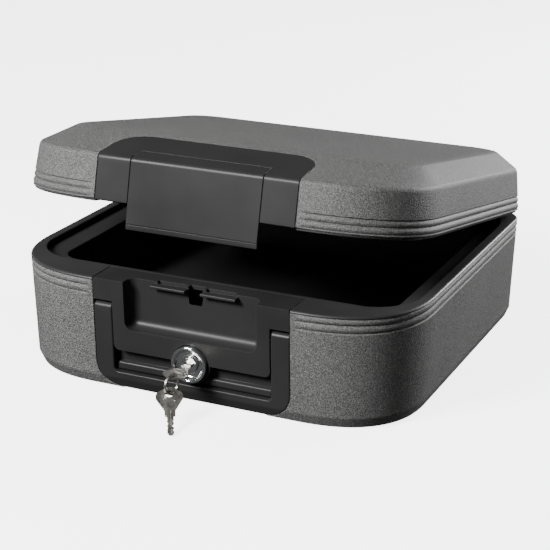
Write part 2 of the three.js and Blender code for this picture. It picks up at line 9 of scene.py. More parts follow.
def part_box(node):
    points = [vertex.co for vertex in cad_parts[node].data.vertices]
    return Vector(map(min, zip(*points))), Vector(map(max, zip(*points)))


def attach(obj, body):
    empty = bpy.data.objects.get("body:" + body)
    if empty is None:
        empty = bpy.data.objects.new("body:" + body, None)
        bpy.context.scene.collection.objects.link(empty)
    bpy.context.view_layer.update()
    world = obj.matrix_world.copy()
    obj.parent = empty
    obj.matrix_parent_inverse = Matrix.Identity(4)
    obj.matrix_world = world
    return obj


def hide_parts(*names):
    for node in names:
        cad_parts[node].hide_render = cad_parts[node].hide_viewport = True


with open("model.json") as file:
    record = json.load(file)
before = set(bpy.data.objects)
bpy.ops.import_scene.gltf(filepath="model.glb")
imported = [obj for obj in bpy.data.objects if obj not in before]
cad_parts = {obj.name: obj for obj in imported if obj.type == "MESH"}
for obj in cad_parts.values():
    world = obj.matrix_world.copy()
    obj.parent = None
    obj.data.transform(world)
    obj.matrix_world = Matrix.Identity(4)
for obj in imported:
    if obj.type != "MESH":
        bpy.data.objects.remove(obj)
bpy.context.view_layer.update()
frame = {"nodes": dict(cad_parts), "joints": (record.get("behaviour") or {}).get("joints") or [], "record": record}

MM = 0.001

# ---- sizes from the frame, in millimetres -----------------------------------------------------------


def box_mm(node):
    low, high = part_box(node)
    return low / MM, high / MM


def joint(name):
    return next(j for j in frame["joints"] if j["name"] == name)


LINER_LOW, LINER_HIGH = box_mm("base_inner_liner")
PANEL_HIGH = box_mm("base_front_panel")[1]
HANDLE_LOW, HANDLE_HIGH = box_mm("carry_handle")
BEZEL_LOW, BEZEL_HIGH = box_mm("lock_bezel")
PLUG_LOW, PLUG_HIGH = box_mm("lock_plug")

HALF_W = LINER_HIGH.x
FRONT = LINER_LOW.y
BACK = LINER_HIGH.y
RIM = LINER_HIGH.z
SHELL_TOP = RIM - 2.7
GAP = 0.35                             # between neighbouring pieces
PANEL_HALF = HANDLE_HIGH.x + 0.1       # half the width of the window in the base shell
HINGE = Vector(joint("lid_hinge")["pos_m"]) / MM
AJAR = -joint("lid_hinge")["range_deg"][0]
HANDLE_PIVOT = Vector(joint("handle_swing")["pos_m"]) / MM
LOCK_Z = joint("key_turn")["pos_m"][2] / MM
RING_AT = Vector(joint("ring_slip")["pos_m"]) / MM
RING_AXIS = Vector(joint("ring_slip")["axis"])
SPARE_AT = Vector(joint("spare_swing")["pos_m"]) / MM
SPARE_AXIS = Vector(joint("spare_swing")["axis"])

LID_EDGE = RIM + 2.5
LID_BEND = RIM + 42.8
LID_TOP = RIM + 60.3
TRIM_TOP = -121                        # where the lid trim's arch ends, on the slope
TRIM_CORNER = 26
PLATE_HALF = 63.1
PLATE_TOP = -155.5
LATCH_PIVOT = (-157.8, RIM + 44)       # y and z with the lid shut
HINGE_BARREL = 4.2

LID_TURN = (Matrix.Translation(HINGE * MM) @ Matrix.Rotation(math.radians(-AJAR), 4, "X")
            @ Matrix.Translation(-HINGE * MM))

# ---- outlines ---------------------------------------------------------------------------------------


def outline(half, front, back, corner_x, corner_y, power, radius):
    return dict(half=half, front=front, back=back, corner_x=corner_x, corner_y=corner_y,
                power=power, radius=radius)


def rounded(half, front, back, radius):
    return outline(half, front, back, radius, radius, 2, radius)


RIM_SHAPE = outline(HALF_W, FRONT, BACK, 98, 90, 2.45, 25)
EDGE_SHAPE = dict(RIM_SHAPE, front=FRONT + 1.5)
BEND_SHAPE = outline(HALF_W - 5, FRONT + 3, BACK - 3.5, 94, 88, 2.45, 24)
TOP_SHAPE = outline(168, -112, 160, 62, 40, 2.2, 22)

FRONT_STEPS = 4
CORNER_STEPS = 30
SIDE_STEPS = 8
BACK_CORNER_STEPS = 8
BACK_STEPS = 8


def inset(shape, d):
    """The outline moved inwards by d."""
    return outline(shape["half"] - d, shape["front"] + d, shape["back"] - d, shape["corner_x"] - d,
                   shape["corner_y"] - d, shape["power"], max(shape["radius"] - d, 1))


def corner_point(shape, t):
    """A point of the squarish front corner, at the angle t from the front."""
    e = 2 / shape["power"]
    return (shape["half"] - shape["corner_x"] + shape["corner_x"] * math.sin(t) ** e,
            shape["front"] + shape["corner_y"] - shape["corner_y"] * math.cos(t) ** e)


def even_turns(shape, steps):
    """Angles that split the front corner into stretches of even length, closer near its start."""
    fine = [math.pi / 2 * k / 2000 for k in range(2001)]
    points = [corner_point(shape, t) for t in fine]
    lengths = [0.0]
    for a, b in zip(points, points[1:]):
        lengths.append(lengths[-1] + math.dist(a, b))
    turns = []
    for k in range(steps + 1):
        share = (k / steps) ** 1.25
        target = share * lengths[-1]
        turns.append(fine[min(range(len(fine)), key=lambda i: abs(lengths[i] - target))])
    return turns


CORNER_TURNS = even_turns(RIM_SHAPE, CORNER_STEPS)


def right_half(shape, seam):
    """The outline's right half: from x = seam on the straight front, round to the middle of the back."""
    end = shape["half"] - shape["corner_x"]
    points = [(seam + (end - seam) * k / FRONT_STEPS, shape["front"]) for k in range(FRONT_STEPS)]
    points += [corner_point(shape, t) for t in CORNER_TURNS]
    side_low = shape["front"] + shape["corner_y"]
    side_high = shape["back"] - shape["radius"]
    for k in range(1, SIDE_STEPS):
        points.append((shape["half"], side_low + (side_high - side_low) * k / SIDE_STEPS))
    for k in range(BACK_CORNER_STEPS + 1):
        t = math.pi / 2 * k / BACK_CORNER_STEPS
        points.append((shape["half"] - shape["radius"] * (1 - math.cos(t)),
                       side_high + shape["radius"] * math.sin(t)))
    back_x = shape["half"] - shape["radius"]
    for k in range(1, BACK_STEPS + 1):
        points.append((back_x * (1 - k / BACK_STEPS), shape["back"]))
    return points


def both_halves(right):
    """The whole run from the right seam, round the back, to the left seam."""
    return right + [(-x, y) for x, y in reversed(right[:-1])]


def distances(points):
    run = [0.0]
    for a, b in zip(points, points[1:]):
        run.append(run[-1] + math.dist(a, b))
    return run


def smooth(x, low, high):
    t = min(max((x - low) / (high - low), 0), 1)
    return t * t * (3 - 2 * t)


# The raised bands stop a little before the seams, so each column of points has its share of them.
BAND_SHARE = [smooth(d, 3.5, 9) for d in distances(right_half(RIM_SHAPE, PANEL_HALF))]


def blend(a, b, shares):
    return [(ax + (bx - ax) * s, ay + (by - ay) * s) for (ax, ay), (bx, by), s in zip(a, b, shares)]


# ---- mesh code --------------------------------------------------------------------------------------


def add_rows(bm, rows, closed=False):
    """Quads between rows of points. The rows go up and each runs anticlockwise, so faces point out."""
    made = [[bm.verts.new(p) for p in row] for row in rows]
    for low, high in zip(made, made[1:]):
        count = len(low)
        for i in range(count if closed else count - 1):
            j = (i + 1) % count
            bm.faces.new((low[i], low[j], high[j], high[i]))
    return made


def add_prism(bm, points, axis, low, high):
    """A solid from a polygon drawn in the plane square to axis, between low and high along it."""
    place = {"x": lambda p, w: (w, p[0], p[1]), "y": lambda p, w: (p[0], w, p[1]),
             "z": lambda p, w: (p[0], p[1], w)}[axis]
    a = [bm.verts.new(place(p, low)) for p in points]
    b = [bm.verts.new(place(p, high)) for p in points]
    bm.faces.new(a)
    bm.faces.new(list(reversed(b)))
    for i in range(len(points)):
        j = (i + 1) % len(points)
        bm.faces.new((a[j], a[i], b[i], b[j]))


def add_box(bm, x, y, z, radius=0.0, segments=4):
    """A box with rounded edges."""
    made = bmesh.ops.create_cube(bm, size=1)["verts"]
    size = Vector((x[1] - x[0], y[1] - y[0], z[1] - z[0]))
    middle = Vector((x[0] + x[1], y[0] + y[1], z[0] + z[1])) / 2
    for v in made:
        v.co = Vector((v.co.x * size.x, v.co.y * size.y, v.co.z * size.z)) + middle
    if radius:
        edges = list({e for v in made for e in v.link_edges})
        bmesh.ops.bevel(bm, geom=edges, offset=radius, segments=segments, affect="EDGES", profile=0.5)


def add_lathe(bm, profile, centre, segments=64):
    """A closed profile of (radius, y) turned about the line through centre along Y."""
    rows = []
    for k in range(segments):
        t = 2 * math.pi * k / segments
        rows.append([(centre[0] + r * math.cos(t), y, centre[1] + r * math.sin(t)) for r, y in profile])
    made = [[bm.verts.new(p) for p in row] for row in rows]
    for k in range(segments):
        low, high = made[k], made[(k + 1) % segments]
        for i in range(len(profile)):
            j = (i + 1) % len(profile)
            bm.faces.new((low[i], low[j], high[j], high[i]))


def arc(cx, cy, radius, start, end, steps):
    """Points on an arc, angles in degrees."""
    points = []
    for k in range(steps + 1):
        t = math.radians(start + (end - start) * k / steps)
        points.append((cx + radius * math.cos(t), cy + radius * math.sin(t)))
    return points


def rounded_rectangle(left, right, low, high, low_radius, high_radius, steps=8):
    points = arc(right - low_radius, low + low_radius, low_radius, -90, 0, steps)
    if high_radius:
        points += arc(right - high_radius, high - high_radius, high_radius, 0, 90, steps)
        points += arc(left + high_radius, high - high_radius, high_radius, 90, 180, steps)
    else:
        points += [(right, high), (left, high)]
    return points + arc(left + low_radius, low + low_radius, low_radius, 180, 270, steps)


def to_object(bm, name):
    bmesh.ops.remove_doubles(bm, verts=bm.verts, dist=0.002)
    bmesh.ops.recalc_face_normals(bm, faces=bm.faces)
    mesh = bpy.data.meshes.new(name)
    bm.to_mesh(mesh)
    bm.free()
    mesh.transform(Matrix.Scale(MM, 4))
    obj = bpy.data.objects.new(name, mesh)
    bpy.context.scene.collection.objects.link(obj)
    return obj


def settle(obj):
    """Makes the modifiers' result the object's own mesh."""
    graph = bpy.context.evaluated_depsgraph_get()
    mesh = bpy.data.meshes.new_from_object(obj.evaluated_get(graph))
    obj.modifiers.clear()
    obj.data = mesh
    return obj


def thicken(obj, thickness):
    """Gives a skin its thickness, inwards from the faces."""
    mod = obj.modifiers.new("thickness", "SOLIDIFY")
    mod.thickness = thickness * MM
    mod.offset = -1
    return settle(obj)


def carve(obj, tool, operation="DIFFERENCE"):
    """Cuts the tool from the object, or joins it, and drops the tool."""
    mod = obj.modifiers.new("carve", "BOOLEAN")
    mod.object = tool
    mod.operation = operation
    mod.solver = "EXACT"
    settle(obj)
    bpy.data.objects.remove(tool)
    return obj


def clean(obj):
    """Joins faces that lie in one plane, so that only real edges are left."""
    bm = bmesh.new()
    bm.from_mesh(obj.data)
    bmesh.ops.remove_doubles(bm, verts=bm.verts, dist=0.01 * MM)
    bmesh.ops.dissolve_limit(bm, angle_limit=math.radians(0.5), verts=bm.verts, edges=bm.edges)
    bm.to_mesh(obj.data)
    bm.free()
    return obj


def soften(obj, width, segments=3, angle=35):
    """Rounds the sharp edges."""
    mod = obj.modifiers.new("edges", "BEVEL")
    mod.width = width * MM
    mod.segments = segments
    mod.limit_method = "ANGLE"
    mod.angle_limit = math.radians(angle)
    mod.use_clamp_overlap = False
    mod.miter_outer = "MITER_ARC"
    return settle(obj)


def shade(obj, angle=42):
    for polygon in obj.data.polygons:
        polygon.use_smooth = True
    obj.data.set_sharp_from_angle(angle=math.radians(angle))
    mod = obj.modifiers.new("normals", "WEIGHTED_NORMAL")
    mod.keep_sharp = True
    mod.weight = 60
    return obj


def piece(obj, body, slot, replaced=(), turn=None):
    """Puts a finished mesh in its place on its body."""
    if turn is not None:
        obj.data.transform(turn)
    shade(obj)
    obj.data.materials.clear()
    obj.data.materials.append(MATERIALS[slot])
    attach(obj, body)
    if replaced:
        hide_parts(*replaced)
    return obj


# ---- materials --------------------------------------------------------------------------------------


def start_material(name, colour, roughness, metallic=0.0, specular=0.5):
    material = bpy.data.materials.new(name)
    material.use_nodes = True
    nodes, links = material.node_tree.nodes, material.node_tree.links
    shader = nodes["Principled BSDF"]
    shader.inputs["Base Color"].default_value = (*colour, 1)
    shader.inputs["Roughness"].default_value = roughness
    shader.inputs["Metallic"].default_value = metallic
    shader.inputs["Specular IOR Level"].default_value = specular
    coords = nodes.new("ShaderNodeTexCoord").outputs["Object"]
    return material, nodes, links, shader, coords


def noise(nodes, links, coords, scale, detail=2.0, roughness=0.5):
    node = nodes.new("ShaderNodeTexNoise")
    node.inputs["Scale"].default_value = scale
    node.inputs["Detail"].default_value = detail
    node.inputs["Roughness"].default_value = roughness
    links.new(coords, node.inputs["Vector"])
    return node.outputs["Fac"]


def ramp(nodes, links, value, stops):
    node = nodes.new("ShaderNodeValToRGB")
    while len(node.color_ramp.elements) < len(stops):
        node.color_ramp.elements.new(0.5)
    for element, (at, colour) in zip(node.color_ramp.elements, stops):
        element.position = at
        element.color = (*colour, 1)
    links.new(value, node.inputs["Fac"])
    return node.outputs["Color"]


def grey(value, warmth=0.0):
    return (value * (1 + warmth), value, value * (1 - warmth))


def spread(nodes, links, value, low, high):
    """Maps a 0 to 1 texture to the range from low to high."""
    node = nodes.new("ShaderNodeMapRange")
    node.inputs["From Min"].default_value = 0.3
    node.inputs["From Max"].default_value = 0.7
    node.inputs["To Min"].default_value = low
    node.inputs["To Max"].default_value = high
    links.new(value, node.inputs["Value"])
    return node.outputs["Result"]


def multiply(nodes, links, a, b):
    node = nodes.new("ShaderNodeMix")
    node.data_type = "RGBA"
    node.blend_type = "MULTIPLY"
    node.inputs["Factor"].default_value = 1
    links.new(a, node.inputs["A"])
    links.new(b, node.inputs["B"])
    return node.outputs["Result"]


def bump(nodes, links, shader, heights):
    """Stacks bumps, each (height, strength, depth in millimetres)."""
    normal = None
    for height, strength, depth in heights:
        node = nodes.new("ShaderNodeBump")
        node.inputs["Strength"].default_value = strength
        node.inputs["Distance"].default_value = depth * MM
        links.new(height, node.inputs["Height"])
        if normal is not None:
            links.new(normal, node.inputs["Normal"])
        normal = node.outputs["Normal"]
    links.new(normal, shader.inputs["Normal"])


def shell_plastic():
    """Charcoal moulded plastic: a pebbled grain with paler flecks, and painted shade that darkens the grain's
    hollows and leaves its tops pale.
    """
    material, nodes, links, shader, coords = start_material("shell_plastic", grey(0.075), 0.6, 0.0, 0.35)
    pebbles = noise(nodes, links, coords, 820, 2, 0.5)
    fine = noise(nodes, links, coords, 1900, 2, 0.6)
    broad = noise(nodes, links, coords, 9, 2)
    flecks = ramp(nodes, links, fine, [(0.4, grey(0.05)), (0.5, grey(0.1, 0.01)), (0.6, grey(0.25, 0.015))])
    drift = ramp(nodes, links, broad, [(0.3, grey(0.88)), (0.7, grey(1.0))])
    # painted shade: the colour darkens with the pebbles' depth, so their hollows look shaded and their tops lit
    painted_hollow_shade = ramp(nodes, links, pebbles, [(0.4, grey(0.55)), (0.58, grey(1.0))])
    links.new(multiply(nodes, links, multiply(nodes, links, flecks, drift), painted_hollow_shade),
              shader.inputs["Base Color"])
    links.new(spread(nodes, links, pebbles, 0.5, 0.7), shader.inputs["Roughness"])
    bump(nodes, links, shader, [(pebbles, 0.9, 0.6), (fine, 0.5, 0.2)])
    return material


def satin_plastic(name, value, roughness, specular, grain, depth):
    """Smooth black moulded plastic with a very fine grain and faint handling marks."""
    material, nodes, links, shader, coords = start_material(name, grey(value), roughness, 0.0, specular)
    fine = noise(nodes, links, coords, grain, 2)
    broad = noise(nodes, links, coords, 14, 3)
    links.new(ramp(nodes, links, broad, [(0.3, grey(value * 0.85)), (0.7, grey(value * 1.12))]),
              shader.inputs["Base Color"])
    links.new(spread(nodes, links, broad, roughness - 0.05, roughness + 0.06), shader.inputs["Roughness"])
    bump(nodes, links, shader, [(fine, 0.25, depth)])
    return material


def insulation():
    """Pale cement-like fill with fine pits."""
    material, nodes, links, shader, coords = start_material("insulation", grey(0.5, 0.06), 0.9)
    lumps = noise(nodes, links, coords, 120, 4)
    pits = noise(nodes, links, coords, 700, 2)
    links.new(ramp(nodes, links, lumps, [(0.3, (0.5, 0.47, 0.41)), (0.7, (0.6, 0.57, 0.5))]),
              shader.inputs["Base Color"])
    bump(nodes, links, shader, [(lumps, 0.4, 0.8), (pits, 0.5, 0.3)])
    return material


def seal_rubber():
    """Matt black rubber with a slight bloom."""
    material, nodes, links, shader, coords = start_material("seal_rubber", grey(0.012), 0.8)
    bloom = noise(nodes, links, coords, 60, 4)
    links.new(ramp(nodes, links, bloom, [(0.35, grey(0.01)), (0.7, grey(0.02))]),
              shader.inputs["Base Color"])
    links.new(spread(nodes, links, bloom, 0.7, 0.88), shader.inputs["Roughness"])
    bump(nodes, links, shader, [(bloom, 0.2, 0.05)])
    return material


def plated_metal(name, colour, roughness, wear, scratch):
    """Plated metal with fine scratches and slightly duller patches."""
    material, nodes, links, shader, coords = start_material(name, colour, roughness, 1.0)
    stretch = nodes.new("ShaderNodeMapping")
    stretch.inputs["Scale"].default_value = (1, 14, 6)
    links.new(coords, stretch.inputs["Vector"])
    lines = noise(nodes, links, stretch.outputs["Vector"], 420, 3)
    patches = noise(nodes, links, coords, 160, 3)
    dull = tuple(c * 0.82 for c in colour)
    links.new(ramp(nodes, links, patches, [(0.35, dull), (0.6, colour)]), shader.inputs["Base Color"])
    links.new(spread(nodes, links, patches, roughness, roughness + wear), shader.inputs["Roughness"])
    bump(nodes, links, shader, [(lines, scratch, 0.02)])
    return material


MATERIALS = {
    "shell_plastic": shell_plastic(),
    "trim_plastic": satin_plastic("trim_plastic", 0.021, 0.38, 0.16, 1400, 0.03),
    "liner_plastic": satin_plastic("liner_plastic", 0.024, 0.45, 0.3, 1100, 0.04),
    "insulation": insulation(),
    "seal_rubber": seal_rubber(),
    "lock_chrome": plated_metal("lock_chrome", (0.78, 0.79, 0.8), 0.07, 0.08, 0.05),
    "hardware_steel": plated_metal("hardware_steel", (0.5, 0.5, 0.5), 0.32, 0.12, 0.3),
    "key_nickel": plated_metal("key_nickel", (0.62, 0.6, 0.55), 0.24, 0.14, 0.25),
}

# ---- base -------------------------------------------------------------------------------------------

FOOT = dict(z=10.5, low=7.5, wall=3.2)          # the bevelled foot's height and insets
BASE_GROOVES = [RIM - 16, RIM - 9, SHELL_TOP]
LID_GROOVES = [LID_EDGE + 1.8, LID_EDGE + 7.7, LID_EDGE + 13.7]
GROOVE_DEPTH = 1.6
BAND_BULGE = 0.15


def wall_inset(z):
    """How far the base's wall stands in from the rim, at height z: a drafted wall over a soft foot."""
    drafted = FOOT["wall"] * (RIM - z) / (RIM - FOOT["z"])
    sloped = FOOT["wall"] + (FOOT["low"] - FOOT["wall"]) * (FOOT["z"] - z) / FOOT["z"]
    blend_from, blend_to = FOOT["z"] - 2.5, FOOT["z"] + 2.5
    share = smooth(z, blend_from, blend_to)
    return sloped + (drafted - sloped) * share


def band_heights(grooves):
    """Rows of height and groove depth: round bands between the grooves."""
    rows = []
    for low, high in zip(grooves, grooves[1:]):
        for k in range(10):
            t = (1 - math.cos(math.pi * k / 10)) / 2
            crown = math.sin(math.pi * t) ** 0.7 if k else 0
            rows.append((low + (high - low) * t, GROOVE_DEPTH - (GROOVE_DEPTH + BAND_BULGE) * crown))
    return rows


def window_half(z):
    """Half the width of the window in the base shell at height z."""
    corner = 25
    low = 1
    if z >= low + corner:
        return PANEL_HALF
    drop = corner - max(z - low, 0)
    return PANEL_HALF - corner + math.sqrt(corner ** 2 - drop ** 2)


def base_row(z, d, groove):
    seam = window_half(z)
    plain = right_half(inset(RIM_SHAPE, d), seam)
    grooved = right_half(inset(RIM_SHAPE, d + groove), seam)
    return [(x, y, z) for x, y in both_halves(blend(plain, grooved, BAND_SHARE))]


def base_shell():
    low_edge = 1.6
    rows = []
    for k in range(5):
        t = math.radians(90 * k / 4)
        z = low_edge * (1 - math.cos(t))
        rows.append((z, wall_inset(z) + low_edge * (1 - math.sin(t)), 0))
    for z in (3.5, 5.5, 7, 8, 9, 10, 11, 12, 13, 15, 18, 22, 26, 35, 50, 65, 78, 85, 87.5):
        rows.append((z, wall_inset(z), 0))
    rows.append((BASE_GROOVES[0] - 0.9, wall_inset(BASE_GROOVES[0]), 0.05))
    rows.append((BASE_GROOVES[0] - 0.35, wall_inset(BASE_GROOVES[0]), 0.6))
    for z, groove in band_heights(BASE_GROOVES):
        rows.append((z, wall_inset(z), groove))
    rows.append((SHELL_TOP, wall_inset(SHELL_TOP), GROOVE_DEPTH * 0.9))
    bm = bmesh.new()
    made = add_rows(bm, [base_row(*row) for row in rows])
    foot_back = HANDLE_HIGH.y + 0.6
    front_edge = [bm.verts.new((side * window_half(0), foot_back, 0)) for side in (-1, 1)]
    bm.faces.new(list(reversed(made[0])) + [front_edge[1], front_edge[0]])
    shell = thicken(to_object(bm, "base_shell"), 3)
    soften(shell, 0.5, 2, 60)
    return carve(shell, knuckles("base_knuckles", [(-20, -8), (8, 20)], base_knuckle()), "UNION")


def base_knuckle():
    """The hinge lug's outline in y and z: a barrel with a web down the back wall."""
    return [(BACK - 1.5, HINGE.z - 11)] + arc(HINGE.y, HINGE.z, HINGE_BARREL, -50, 180, 14) + \
        [(BACK - 1.5, HINGE.z - 0.5)]


def lid_knuckle():
    """The same for the lid: a barrel with a web up the back wall."""
    return [(BACK - 2, LID_EDGE + 7), (BACK - 2, LID_EDGE + 1.2)] + \
        arc(HINGE.y, HINGE.z, HINGE_BARREL, 180, 400, 14)


def knuckles(name, spans, profile):
    """A set of hinge lugs on each side, at the given spans round the hinge's middle."""
    middle = (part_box("hinge_pin_right")[0].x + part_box("hinge_pin_right")[1].x) / 2 / MM
    bm = bmesh.new()
    for side in (-1, 1):
        for low, high in spans:
            add_prism(bm, profile, "x", side * middle + low, side * middle + high)
    return soften(to_object(bm, name), 0.5, 2, 50)


LEDGE = rounded(185, -139, 165, 44)
WELL = rounded(166, -116, 145, 20)
LEDGE_Z = RIM - 6.2                     # at its outer edge; it falls a little towards the well
WELL_EDGE_Z = RIM - 9
WELL_FLOOR = 38


def ring(shape, z, notch=None):
    """A whole outline at height z. A notch, (half width, y), sets the front's middle back."""
    half = right_half(shape, PANEL_HALF + GAP)
    half_x, y = notch or (PANEL_HALF - 1, shape["front"])
    middle = [(half_x * k / 6, y) for k in range(6, -7, -1)]
    whole = both_halves(half) + [(-x, y) for x, y in middle]
    return [(x, y, z) for x, y in whole]


def fillet(steps=5):
    """Shares (out, down) of a quarter turn, from level to upright."""
    return [(1 - math.sin(math.pi / 2 * k / steps), 1 - math.cos(math.pi / 2 * k / steps))
            for k in range(steps + 1)]


def over_edge(shape, radius, z):
    """Rows that round from level at height z, down into the outline's wall."""
    return [ring(inset(shape, -radius * out), z - radius * down) for out, down in fillet()]


def into_floor(shape, radius, z):
    """Rows that round from the outline's wall into a floor at height z."""
    return [ring(inset(shape, radius * down), z + radius * out) for out, down in fillet()]


def closed_skin(name, rows):
    """A solid through whole outlines, from its outside, over its edge, to its inside."""
    bm = bmesh.new()
    made = add_rows(bm, rows, closed=True)
    bm.faces.new(list(reversed(made[0])))
    bm.faces.new(made[-1])
    return to_object(bm, name)


def base_liner():
    """The rim flange, the ledge that the lid's tongue sits in, and the well."""
    notch = (PANEL_HALF + GAP, PANEL_HIGH.y + GAP)
    skin = 2.4
    rows = [ring(inset(WELL, 6), WELL_FLOOR - skin), ring(inset(WELL, -skin), WELL_FLOOR + 4),
            ring(inset(WELL, -skin), WELL_EDGE_Z - skin), ring(inset(LEDGE, -skin), LEDGE_Z - skin),
            ring(inset(LEDGE, -skin), RIM - skin)]
    crown_in, crown_down = 2.6, 2.1
    edge_round, floor_round = 1.6, 9
    rows += [ring(inset(RIM_SHAPE, 3), RIM - skin, notch), ring(inset(RIM_SHAPE, 0.3), RIM - skin, notch)]
    rows += [ring(inset(RIM_SHAPE, crown_in * down), RIM - crown_down * out, notch)
             for out, down in fillet(6)]
    rows += over_edge(LEDGE, edge_round, RIM)
    rows += into_floor(LEDGE, edge_round, LEDGE_Z)
    rows += over_edge(WELL, edge_round, WELL_EDGE_Z)
    rows += into_floor(inset(WELL, 2), floor_round, WELL_FLOOR)
    return closed_skin("base_liner", rows)


def front_y(z):
    """The base's front face at height z."""
    return FRONT + wall_inset(z)


RECESS = dict(half=64.8, low=RIM - 45.5, back=FRONT + 14.5)
TAB = dict(inner=7.2, outer=41.8, front=-168.5, low=RIM - 4.6, high=RIM - 1.8)


def block(name, x, y, z, radius=0.0, segments=4):
    bm = bmesh.new()
    add_box(bm, x, y, z, radius, segments)
    return to_object(bm, name)


def prism(name, points, axis, low, high):
    bm = bmesh.new()
    add_prism(bm, points, axis, low, high)
    return to_object(bm, name)


def front_half_space():
    """Everything in front of the base's drafted front face, as a tool to cut with."""
    face = [(front_y(z), z) for z in (FOOT["z"] + 2.5, RIM)]
    points = [(-230, -20), (front_y(13), -20)] + face + [(face[-1][0], RIM + 10), (-230, RIM + 10)]
    return prism("front_space", points, "x", -120, 120)


def rounded_plate(name, half, low, high, radius, y):
    return prism(name, rounded_rectangle(-half, half, low, high, radius, 0), "y", *y)


def disc(name, radius, y, z, segments=64):
    bm = bmesh.new()
    add_prism(bm, arc(0, z, radius, 0, 360 - 360 / segments, segments - 1), "y", *y)
    return to_object(bm, name)


def front_panel():
    half = PANEL_HALF - GAP
    plate_back = RECESS["back"] + 3
    body = block("front_panel", (-half, half), (-180, PANEL_HIGH.y), (84.7, RIM))
    carve(body, rounded_plate("plate", 77.1, LOCK_Z + 0.1, 90, 6, (-181, plate_back)), "UNION")
    carve(body, disc("boss", 19.5, (-182, plate_back - 0.4), LOCK_Z), "UNION")
    carve(body, front_half_space())
    carve(body, block("recess", (-RECESS["half"], RECESS["half"]), (-215, RECESS["back"]),
                      (RECESS["low"], RIM + 30), 8, 6))
    carve(body, block("notch", (-TAB["inner"], TAB["inner"]), (-175, RECESS["back"] + 6),
                      (RIM - 6, RIM + 5)))
    for side in (-1, 1):
        spans = sorted((side * (TAB["inner"] + 3), side * (TAB["outer"] - 4)))
        carve(body, block("slot", spans, (-164, RECESS["back"] + 4), (RIM - 3.4, RIM + 5)))
    carve(body, block("bolt_hole", (-6, 6), (-163, plate_back + 1), (RIM - 15.5, RIM - 10)))
    carve(body, disc("bezel_seat", 17.3, (-190, BEZEL_HIGH.y + 0.3), LOCK_Z))
    carve(body, disc("lock_bore", 12.2, (-190, -150), LOCK_Z, 32))
    carve(body, block("hollow", (-half + 5, half - 5), (plate_back + 6, -140), (86, RIM - 3)))
    carve(body, block("bolt_way", (-7.6, 7.6), (plate_back - 0.1, -151), (80, RIM - 8)))
    for side in (-1, 1):
        spans = sorted((side * TAB["inner"], side * TAB["outer"]))
        carve(body, block("tab", spans, (TAB["front"], RECESS["back"] + 1), (TAB["low"], TAB["high"]),
                          0.9, 3), "UNION")
    clean(body)
    return soften(body, 0.55, 2, 40)


def handle_pocket():
    """The wall behind the handle, with the rounded ledge that fingers hook over."""
    low, high = box_mm("handle_pocket")
    wall = (high.x, -163.5, -160.5)
    body = block("pocket", (-wall[0], wall[0]), wall[1:], (low.z, high.z))
    carve(body, rounded_plate("plate_space", 77.4, LOCK_Z - 0.2, RIM, 6, (-175, -150)))
    carve(body, block("pocket_ledge", (-76.8, 76.8), (low.y, wall[2] - 0.5), (17.6, 25.5), 2.2, 5), "UNION")
    carve(body, block("foot_flange", (-wall[0], wall[0]), (wall[2] - 1, high.y),
                      (low.z, low.z + 2.5)), "UNION")
    carve(body, disc("boss_space", 19.8, (-180, -150), LOCK_Z))
    clean(body)
    return soften(body, 0.5, 2, 40)


def handle_depth(z):
    """The handle's front and back at height z: flush with the base, round at the arms' tops."""
    barrel = HANDLE_HIGH.z - HANDLE_PIVOT.z
    rise = z - HANDLE_PIVOT.z
    if rise <= 0:
        return front_y(z), HANDLE_HIGH.y
    reach = math.sqrt(max(barrel ** 2 - rise ** 2, 0.3))
    return HANDLE_PIVOT.y - reach, HANDLE_PIVOT.y + reach


def carry_handle():
    """A U lofted through sections that run from its outer edge to its inner one."""
    outer_half, inner_half = HANDLE_HIGH.x, 77.7
    low, bar_top = HANDLE_LOW.z, 17
    outer_r, inner_r = 25, 4.5
    barrel = HANDLE_HIGH.z - HANDLE_PIVOT.z
    heights = [HANDLE_PIVOT.z + barrel * math.sin(math.radians(a)) for a in (86, 75, 62, 48, 34, 20, 8)]
    heights += [HANDLE_PIVOT.z - 4, 60, 45, 34]
    pairs = [((-outer_half, z), (-inner_half, z)) for z in heights]
    outer_arc = arc(-outer_half + outer_r, low + outer_r, outer_r, 180, 270, 16)
    inner_arc = arc(-inner_half + inner_r, bar_top + inner_r, inner_r, 180, 270, 16)
    pairs += list(zip(outer_arc, inner_arc))
    pairs += [((x, low), (x, bar_top)) for x in (-60, -45, -30, -15)]
    mirror = [((-a[0], a[1]), (-b[0], b[1])) for a, b in reversed(pairs)]
    pairs += [((0, low), (0, bar_top))] + mirror
    bm = bmesh.new()
    made = add_rows(bm, [handle_section(a, b) for a, b in pairs], closed=True)
    bm.faces.new(list(reversed(made[0])))
    bm.faces.new(made[-1])
    return to_object(bm, "handle")


def handle_section(outer, inner):
    """One closed section of the handle, with round front edges and eased back ones."""
    width = math.dist(outer, inner)

    def at(s, y_share=None, y=None):
        x = outer[0] + (inner[0] - outer[0]) * s / width
        z = outer[1] + (inner[1] - outer[1]) * s / width
        front, back = handle_depth(z)
        return (x, front + y if y is not None else front + (back - front) * y_share, z)

    depth = min(handle_depth(outer[1])[1] - handle_depth(outer[1])[0],
                handle_depth(inner[1])[1] - handle_depth(inner[1])[0])
    r = min(1.5, 0.4 * depth)
    points = [at(0.5, 1.0), at(0, 0.9)]
    points += [at(r * (1 - math.cos(t)), y=r * (1 - math.sin(t))) for t in
               (math.radians(a) for a in (0, 22, 45, 68, 90))]
    points += [at(r + (width - 2 * r) * k / 10, y=0) for k in range(1, 10)]
    points += [at(width - r * (1 - math.cos(t)), y=r * (1 - math.sin(t))) for t in
               (math.radians(a) for a in (90, 68, 45, 22, 0))]
    points += [at(width, 0.9), at(width - 0.5, 1.0)]
    return points


# ---- lock and keys ----------------------------------------------------------------------------------


